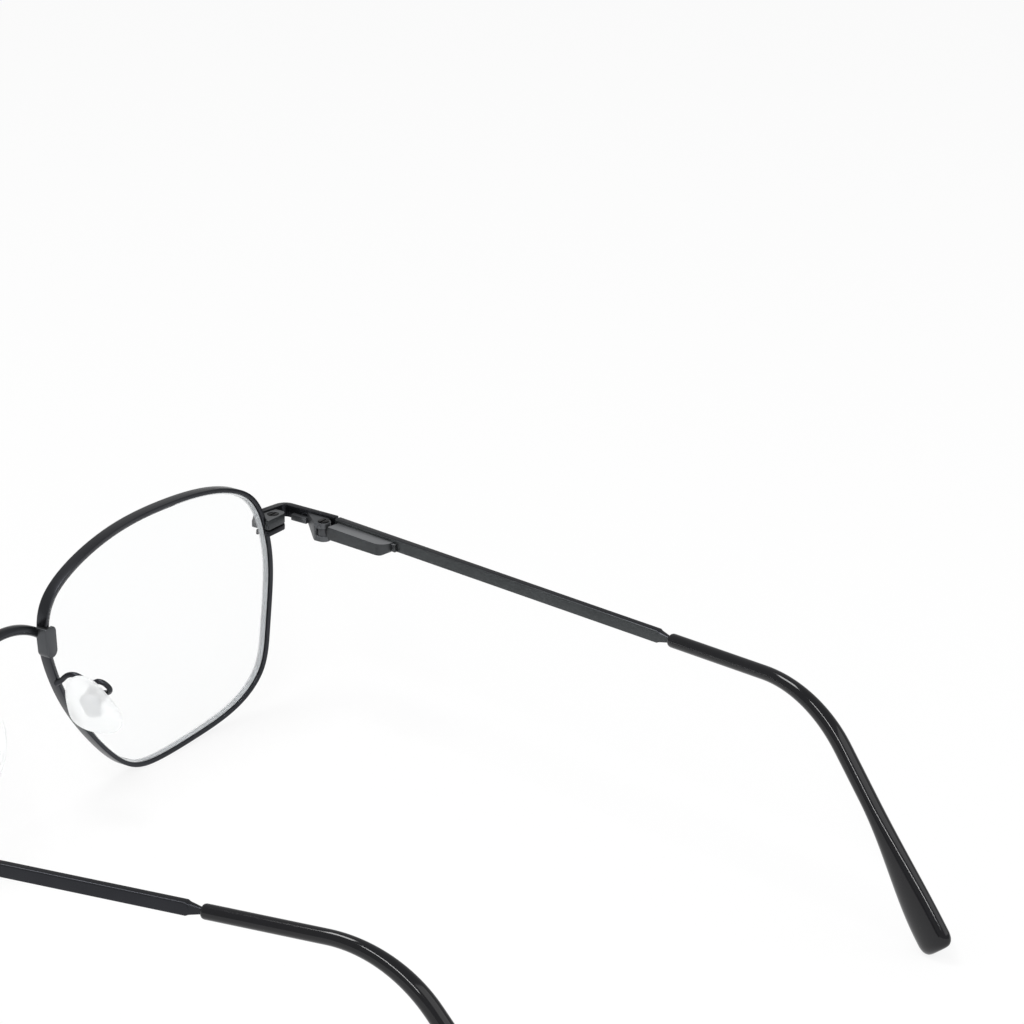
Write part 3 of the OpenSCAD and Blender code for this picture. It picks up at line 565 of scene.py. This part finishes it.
def make_rims():
    """The rims, a grooved wire swept round from one side of the split to the other."""
    path = rim_path()
    places = [
        Matrix(((-way.y, 0, way.x, spot.x), (0, 1, 0, 0), (way.x, 0, way.y, spot.y), (0, 0, 0, 1)))
        for spot, way in zip(path, ways_along(path))]
    half, groove, floor = RIM_DEPTH / 2, GROOVE_W / 2, RIM_T - GROOVE_DEPTH
    outer_r, next_r, near = 0.2, 0.1, 0.01
    bm = bmesh.new()
    face_of(bm, [
        (0, -half, 0), (0, half, 0), (-RIM_T, half, 0), (-RIM_T, groove, 0),
        (-floor, groove - GROOVE_SLANT, 0), (-floor, GROOVE_SLANT - groove, 0),
        (-RIM_T, -groove, 0), (-RIM_T, -half, 0)])
    rounded(bm, [v for v in bm.verts if v.co.x > -near and abs(v.co.y) > half - near], outer_r, 3)
    rounded(bm, [v for v in bm.verts if abs(v.co.y) > half - near], next_r, 2)
    swept(bm, bm.faces[:][0], places)
    mirrored_pair("rim_wire", "rim", "front", [GUNMETAL], bent_to_front(bm), AT_LENS)


def make_lenses():
    """The lenses, swept from back to front. A ring has its share of the outline and its depth."""
    half, tongue = LENS_T / 2, GROOVE_W / 2 - SEAT
    shoulder = 1 - 2 * GROOVE_DEPTH / RIM_H
    edge_ease, polished_band = 0.12, 0.05
    rings = [(share, half) for share in (0.06, 0.3, 0.55, 0.8, 0.955, 0.99 * shoulder)]
    rings += [(shoulder, half - edge_ease), (shoulder, tongue), (1, tongue - GROOVE_SLANT)]
    rings += [(share, -depth) for share, depth in reversed(rings)]
    outline = outline_points(RIM_CURVE, RIM_STEPS, GROOVE_DEPTH - RIM_T - SEAT)
    bm = bmesh.new()
    middle = face_of(bm, [(x, z, 0) for x, z in outline])
    swept(bm, middle, [UPRIGHT @ at(0, 0, depth) @ sized(share, share, 1) for share, depth in rings])
    layer = bm.verts.layers.float.new("ground_edge")
    for v in bm.verts:
        v[layer] = float(abs(v.co.y) < half - polished_band)
    mirrored_pair("clear_lens", "lens", "front", [CLEAR_LENS], bent_to_front(bm), AT_LENS, 25)


# Bridge


def bar_section():
    """The section of the bridge's bar, two half circles with short flats between them."""
    side_r, flat, level = BRIDGE_H / 2, (BRIDGE_DEPTH - BRIDGE_H) / 2, 0.01
    section = []
    for a in range(0, 360, 18):
        shift = flat if sin(a) > level else -flat if sin(a) < -level else 0
        section.append((side_r * cos(a), side_r * sin(a) + shift, 0))
    return section


def bridge_foot():
    """One foot, from its square head down to its round toe."""
    toe_x, toe_r = 1.45, 1.15
    head = [
        (0, FOOT_H - 0.8), (0, FOOT_H), (FOOT_W - 0.5, FOOT_H), (FOOT_W - 0.15, FOOT_H - 0.15),
        (FOOT_W + 0.1, FOOT_H - 0.6)]
    toe = [(toe_x + toe_r * cos(a), toe_r + toe_r * sin(a)) for a in range(0, -181, -15)]
    foot = plate(head + toe, 0, FOOT_T)
    eased_edges(foot, 0.2, segments=3)
    return foot


def make_bridge():
    """The bridge, an arched bar with a foot brazed to each rim."""
    foot_in = BRIDGE_GAP / 2 - FOOT_LAP
    foot_top = BRIDGE_Z - ARCH_R + math.sqrt(ARCH_R**2 - foot_in**2) + BRIDGE_H / 2
    half_angle = math.degrees(math.asin((BRIDGE_GAP / 2 + ARCH_LAP) / ARCH_R))
    centre = at(0, BRIDGE_Y, BRIDGE_Z - ARCH_R)
    count = 32
    places = [
        centre @ turn(a, "Y") @ at(0, 0, ARCH_R) @ turn(-90, "Y")
        for a in (-half_angle + 2 * half_angle * k / count for k in range(count + 1))]
    bm = bmesh.new()
    swept(bm, face_of(bm, bar_section()), places)
    for flip in (HERE, MIRRORED):
        lay = flip @ at(foot_in, FOOT_BACK, foot_top - FOOT_H) @ turn(90, "X")
        bm = combined(bm, placed(bridge_foot(), lay), "UNION")
    for flip in (HERE, MIRRORED):
        bm = combined(bm, placed(rim_space(), flip), "DIFFERENCE")
    # The feet take the second finish, a lighter copy of the plating that paints light onto them
    give_second_finish(bm, lambda face: abs(face.calc_center_median().x) > foot_in - 0.01)
    settle("bridge_bar", "bridge", "front", [GUNMETAL, FOOT_SATIN_PAINTED_LIGHT], placed(bm, TO_ROW), 35)


# Temples


def temple_place(s):
    """Where the temple's middle line is, at a distance along it from the hinge axis."""
    if s < BEND_Y:
        return at(BLADE_X, s, BLADE_Z) @ turn(-90, "X")
    if s < BEND_Y + BEND_L:
        a = math.degrees((s - BEND_Y) / BEND_R)
        return at(BLADE_X, BEND_Y + BEND_R * sin(a), BLADE_Z - BEND_R * (1 - cos(a))) @ turn(-90 - a, "X")
    d = s - BEND_Y - BEND_L
    return at(BLADE_X, BEND_END_Y + d * cos(BEND), BEND_END_Z - d * sin(BEND)) @ turn(-90 - BEND, "X")


def drawn_in(ring, radius):
    """Pulls in what lies outside a radius round the temple's middle line."""
    for v in ring.verts:
        away = Vector((v.co.x - BLADE_X, v.co.z - BLADE_Z))
        spot = away.normalized() * min(away.length, radius)
        v.co.x, v.co.z = BLADE_X + spot.x, BLADE_Z + spot.y


def make_blades():
    """The flat blades, each drawn in at its neck to the round core in its sleeve."""
    x, z, corner_r = BLADE_T / 2, BLADE_H / 2, 0.22
    neck, neck_l, neck_r, neck_steps = SLEEVE_Y - 2.4, 2.2, 1.0, 6
    core_start, core_end = SLEEVE_Y - 0.2, BEND_Y + BEND_L + TAIL_L - CORE_SHORT
    bm = bmesh.new()
    face_of(bm, [(x, z, 0), (-x, z, 0), (-x, -z, 0), (x, -z, 0)])
    rounded(bm, bm.verts[:], corner_r, 5)
    end = swept(bm, bm.faces[:][0], [temple_place(BLADE_Y), temple_place(neck)])
    for step in range(1, neck_steps + 1):
        share = step / neck_steps
        y = neck + neck_l * share
        end = drawn_on(bm, end, at(0, y - end.calc_center_median().y, 0))
        drawn_in(end, neck_r - (neck_r - CORE_R) * share)
    stations = [core_start + (BEND_Y - SLEEVE_Y) * k / 4 for k in range(5)]
    stations += [BEND_Y + BEND_L * k / 16 for k in range(1, 17)] + [core_end]
    for a, b in zip(stations, stations[1:]):
        end = drawn_on(bm, end, temple_place(b) @ temple_place(a).inverted())
    # Inner faces take the second finish, painted lighter for the reflection on them
    give_second_finish(bm, lambda face: face.normal.x < -0.7)
    mirrored_pair("temple_bar", "temple_blade", "temple", [BLADE_TOP, BLADE_INNER_PAINTED_SHEEN], bm, AT_HINGE)


def make_cases():
    """The spring cases, rounded at the back, with a low step behind them."""
    top, low_front, low_back = BLADE_Z + 0.5, -0.75, -0.55
    nose_r, corner_r, tall, mouth, bore_short = 1.1, 1.9, 3, 1, 0.9
    end, inner = CASE_Y + CASE_L, BLADE_IN - SEAT - CASE_W
    lay = turn(90, "Z") @ turn(90, "X")
    quarter = range(0, 91, 10)
    side = [(end, top), (CASE_Y, top), (CASE_Y, low_front)]
    side += [(end - nose_r + nose_r * sin(a), low_back + nose_r * (1 - cos(a))) for a in quarter]
    plan = [(inner + CASE_W, CASE_Y), (inner + CASE_W, end)]
    plan += [(inner + corner_r * (1 - sin(a)), end - corner_r * (1 - cos(a))) for a in quarter]
    plan += [(inner, CASE_Y)]
    bm = combined(plate(side, inner, inner + CASE_W, lay), plate(plan, -tall, tall), "INTERSECT")
    eased_edges(bm, 0.12, angle=40, segments=3)
    bore = placed(round_bar(BORE_R, CASE_Y - mouth, end - bore_short), at(ROD_X, 0, ROD_Z) @ turn(-90, "X"))
    bm = combined(bm, bore, "DIFFERENCE")
    step_front, step_back, step_t = end - 0.3, end + 0.8, 0.5
    step_top, step_foot = top - 0.15, BLADE_Z - BLADE_H / 2 + 0.1
    step = plate(
        [(step_front, step_top), (step_front, step_foot), (step_back, step_foot), (step_back, step_top)],
        BLADE_IN - step_t, BLADE_IN - SEAT, lay)
    eased_edges(step, 0.08)
    bm = combined(bm, step, "UNION")
    # Faces pointing up take the second finish, which paints the light from above onto them
    give_second_finish(bm, lambda face: face.normal.z > 0.8)
    mirrored_pair("spring_box", "spring_case", "temple", [CASE_SIDE, CASE_TOP_PAINTED_LIGHT], bm, AT_HINGE, 40)


def sleeve_size(s):
    """Height, width and drop of the sleeve, at a distance along the temple."""
    bend = eased((s - BEND_Y) / BEND_L)
    flare = eased((s - CURVE_L + PADDLE_L) / (PADDLE_L - PADDLE_FULL))
    round_d = SLEEVE_D + (SLEEVE_MID_D - SLEEVE_D) * bend
    height = round_d + (PADDLE_H - SLEEVE_MID_D) * flare
    width = round_d + (PADDLE_T - SLEEVE_MID_D) * flare
    return height, width, PADDLE_DROP * flare


def make_sleeves():
    """The sleeves, round at first, with a flattened paddle that hangs a little to the front."""
    last, start = CURVE_L - PADDLE_CAP, SLEEVE_Y + SLEEVE_NOSE
    bore_d, bore_end = 2 * (CORE_R + CORE_GAP), last - 3
    nose_step, cap_shrink, count = 0.7, 0.05, 90
    rings = [
        (s, bore_d, bore_d, 0) for s in (bore_end, BEND_Y + BEND_L, BEND_Y + BEND_L / 2, BEND_Y, SLEEVE_Y)]
    for a in (0, 22, 45, 67):
        nose_d = SLEEVE_D - nose_step * (1 - sin(a))
        rings.append((SLEEVE_Y + SLEEVE_NOSE * (1 - cos(a)), nose_d, nose_d, 0))
    for k in range(count + 1):
        s = start + (last - start) * k / count
        rings.append((s, *sleeve_size(s)))
    for a in (15, 30, 45, 60, 68, 75, 80, 84, 87):
        height, width = cap_height(a) - cap_shrink, PADDLE_T * cos(a) ** 0.7
        rings.append((last + PADDLE_CAP * sin(a), height, width, PADDLE_DROP))
    bm = bmesh.new()
    bmesh.ops.create_circle(bm, cap_ends=True, radius=0.5, segments=40)
    places = [temple_place(s) @ at(0, drop, 0) @ sized(w, h, 1) for s, h, w, drop in rings]
    swept(bm, bm.faces[:][0], places)
    mirrored_pair("ear_sleeve", "temple_tip", "temple", [SLEEVE_BLACK], bm, AT_HINGE, 60)


# Nose pads


def make_pads():
    """The pads, swept to a draft depth and then domed. A ring has its shares of outline and depth."""
    back, draft = PAD_T * 0.4, 10
    rings = [
        (0.05, 0), (0.5, 0), (0.93, 0), (0.975, 0.04), (0.995, 0.12), (1, 0.3), (1, 0.65), (0.985, 0.85),
        (0.955, 0.96), (0.91, 1), (0.8, 1), (0.65, 1), (0.5, 1), (0.35, 1), (0.2, 1), (0.07, 1)]
    lay = turn(90, "Y") @ turn(90, "Z")
    bm = bmesh.new()
    start = face_of(bm, [(y, z, 0) for y, z in outline_points(PAD_CURVE, PAD_STEPS)])
    swept(bm, start, [lay @ at(0, 0, -draft * deep) @ sized(share, share, 1) for share, deep in rings])
    for v in bm.verts:
        dome = PAD_DOME_R - math.sqrt(PAD_DOME_R**2 - v.co.y**2 - v.co.z**2)
        v.co.x = back + v.co.x / draft * (PAD_T - dome)
    mirrored_pair("silicone_pad", "nose_pad", "pad", [CLEAR_SILICONE], bm, AT_PAD, 60)


def make_pad_arms():
    """The pad arms, bent from round wire and cut where they are brazed to the rims."""
    line = line_points([Vector(p) for p in ARM_LINE], ARM_STEPS)
    across = Vector((0.8, 0.2, 0.55))
    places = []
    for spot, along in zip(line, ways_along(line)):
        u = along.cross(across).normalized()
        v = along.cross(u)
        places.append(at(*spot) @ Matrix((u, v, along)).transposed().to_4x4())
    bm = bmesh.new()
    bmesh.ops.create_circle(bm, cap_ends=True, radius=ARM_R, segments=16)
    swept(bm, bm.faces[:][0], places)
    bm = combined(placed(bm, at(PAD_X, PAD_BACK, PAD_Z)), rim_space(), "DIFFERENCE")
    mirrored_pair("pad_wire", "pad_arm", "front", [GUNMETAL], bm, HERE)


# Springs and small machined pieces


def solid_copy(node):
    """A copy of a solid, with the corners of its faces joined."""
    bm = bmesh.new()
    bm.from_mesh(nodes[node].data)
    bmesh.ops.remove_doubles(bm, verts=bm.verts[:], dist=SAME_CORNER)
    return bm


def make_springs():
    """Copies of the wound springs, each with a mesh of its own."""
    for side, sign in (("left", 1), ("right", -1)):
        node = f"{side}_hinge_spring"
        body = on_side(side, "temple")
        coil = settle(f"{side}_coil", node, body, [BRIGHT_STEEL], solid_copy(node), 60)
        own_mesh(coil)


def eased_copy(name, node, width, finishes):
    """A copy of a small piece of the front, with eased edges. A second finish, painted lighter for the
    light falling on it, is for its top.
    """
    bm = solid_copy(node)
    bmesh.ops.dissolve_limit(
        bm, angle_limit=math.radians(0.5), use_dissolve_boundaries=False,
        verts=bm.verts[:], edges=bm.edges[:])
    rounded(bm, sharp_edges(bm, 30), width * MILLIMETRE, 2, "EDGES")
    # Faces pointing up take the second finish, which paints the light from above onto them
    give_second_finish(bm, lambda face: len(finishes) > 1 and face.normal.z > 0.8)
    settle(name, node, "front", finishes, bm, 40)


# Each small piece's node, its own name, the width of its eased edges, its finishes and its slot
SMALL_PIECES = [
    ("closing_block_upper", "upper_block", 0.14, [GUNMETAL_SATIN_PAINTED_LIGHT, BLOCK_TOP_PAINTED_LIGHT], "metal"),
    ("closing_block_lower", "lower_block", 0.14, [GUNMETAL_PAINTED_SHADE], "metal"),
    ("end_piece", "end_bar", 0.06, [GUNMETAL_PAINTED_SHADE], "metal"),
    ("hinge_fork", "hinge_leaf", 0.05, [LEAF_SATIN_PAINTED_LIGHT], "metal"),
    ("pad_box", "pad_clasp", 0.08, [CLASP_STEEL], "metal"),
    ("hinge_screw", "hinge_pin", 0.04, [DARK_SCREW], "screw"),
    ("closing_screw", "rim_pin", 0.04, [DARK_SCREW], "screw"),
    ("pad_screw", "pad_pin", 0.04, [CLASP_STEEL], "screw"),
]
# The solids that stay as they are and only take a finish
FINISHED_SOLIDS = [
    ("spring_piston", STEEL_PAINTED_SHADE), ("spring_retainer", BRIGHT_STEEL), ("pad_insert", PALE_STEEL)]


def make_small_pieces():
    """The small pieces of both sides, and the finishes of the solids that show as they are."""
    for side in ("left", "right"):
        for node, name, width, finishes, slot in SMALL_PIECES:
            eased_copy(f"{side}_{name}", f"{side}_{node}", width, finishes)
        for node, finish in FINISHED_SOLIDS:
            mesh = nodes[f"{side}_{node}"].data
            mesh.materials.clear()
            mesh.materials.append(finish)


# Room, in metres

WHITE = (1, 1, 1, 1)
# Each lamp's name, power and width, and the two ends of its middle line
LAMPS = [
    ("softbox_above", 1.7, 0.22, (-0.06, -0.2, 0.72), (0.16, -0.2, 0.72)),
    ("softbox_back", 1.8, 0.5, (-0.6, 0.66, 0.5), (0.4, 0.76, 0.55)),
    ("strip_light", 2.4, 0.05, (0.4, 0.0, 0.8), (0.62, 0.46, 0.4)),
]


def make_table():
    """A table top that looks nearly white and still takes the shadow."""
    bm = bmesh.new()
    bmesh.ops.create_grid(bm, x_segments=1, y_segments=1, size=4)
    mesh = mesh_from(bm, "table")
    table = added("table", mesh)
    f = new_finish("white_table")
    seen = f.seen_by("Camera", "Glossy", "Transmission")
    plain = f.node("BsdfDiffuse", {}, {"Color": (0.93, 0.93, 0.93, 1)})
    glow = f.node("Emission", {}, {"Color": WHITE, "Strength": 1.0})
    mesh.materials.append(f.surface(f.node("MixShader", {}, {0: 0.85 * seen, 1: plain, 2: glow})))


def make_world():
    """A room that looks white, and lights the glasses at half that strength."""
    world = bpy.data.worlds.new("studio")
    bpy.context.scene.world = world
    f = Finish(world)
    seen = f.seen_by("Camera", "Transmission")
    room = f.node("Background", {}, {"Color": WHITE, "Strength": 0.5})
    white = f.node("Background", {}, {"Color": WHITE, "Strength": 1.0})
    f.surface(f.node("MixShader", {}, {0: seen, 1: room, 2: white}), "OutputWorld")


def make_lamps():
    """Flat lamps, each laid along its middle line and facing the glasses."""
    for name, power, width, start, end in LAMPS:
        middle, run = (Vector(start) + Vector(end)) / 2, Vector(end) - Vector(start)
        lamp = bpy.data.lights.new(name, "AREA")
        lamp.shape, lamp.energy, lamp.size, lamp.size_y = "RECTANGLE", power, run.length, width
        back = middle.normalized()
        side = (run - run.dot(back) * back).normalized()
        facing = Matrix((side, back.cross(side), back)).transposed().to_4x4()
        added(name, lamp).matrix_world = at(*middle) @ facing


def make_camera():
    """The camera of the photograph, held level and turned and tilted in degrees."""
    spot, turned, tilted = (0.45856, 0.35461, 0.29866), 125.641, 68.246
    lens = bpy.data.cameras.new("camera")
    lens.lens, lens.sensor_width = 160.17, 36
    lens.clip_start, lens.clip_end = 0.01, 20
    eye = added("camera", lens)
    eye.matrix_world = at(*spot) @ turn(turned, "Z") @ turn(tilted, "X")
    bpy.context.scene.camera = eye


make_rims()
make_lenses()
make_bridge()
make_blades()
make_cases()
make_sleeves()
make_pads()
make_pad_arms()
make_springs()
make_small_pieces()

bpy.context.scene.view_settings.view_transform = "Standard"
make_table()
make_world()
make_lamps()
make_camera()
